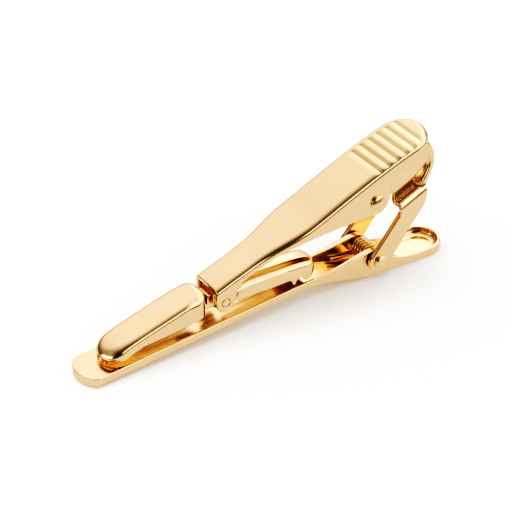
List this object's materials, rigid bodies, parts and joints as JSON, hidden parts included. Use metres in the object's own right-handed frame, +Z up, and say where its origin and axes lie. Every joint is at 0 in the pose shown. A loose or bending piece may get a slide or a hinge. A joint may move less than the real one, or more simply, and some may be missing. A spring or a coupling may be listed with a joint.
{
  "type": "tie clip",
  "caption": "Spring-loaded tie clip: slim tray-shaped bar with a dished tail, ribbed thumb lever on a bent yoke, and a rocking foot that presses the cloth onto the bar.",
  "frame": {"origin": "middle of the clip's length and width, on the surface it lies on", "axes": "+Z up, +X along the bar towards the tail and the thumb end of the lever, Y across the clip along the hinge pins"},
  "size_m": [0.059, 0.0086, 0.0209],
  "materials": {
    "plated_sheet": "bright gold-coloured plating, mirror polished",
    "plated_pins": "bright gold-coloured plating on domed rivet heads",
    "spring_wire": "drawn wire, gold-coloured plating"
  },
  "bodies": {
    "base": {"base_bar": "plated_sheet", "yoke_pin": "plated_pins", "torsion_spring": "spring_wire"},
    "jaw": {"lever_arm": "plated_sheet", "yoke": "plated_sheet", "lever_pin": "plated_pins", "foot_pin": "plated_pins"},
    "foot": {"foot_carrier": "plated_sheet", "foot_cap": "plated_sheet"}
  },
  "joints": [
    {"name": "jaw_hinge", "type": "hinge", "parent": "base", "child": "jaw", "pos_m": [0.0171, 0, 0.0029], "axis": [0, 1, 0], "range_deg": [0, 25], "stiffness_Nm_per_rad": 0.03, "springref_deg": -34.38, "deforming": ["torsion_spring"]},
    {"name": "foot_rock", "type": "hinge", "parent": "jaw", "child": "foot", "pos_m": [-0.00775, 0, 0.00526], "axis": [0, 1, 0], "range_deg": [-1.5, 0.8]}
  ]
}
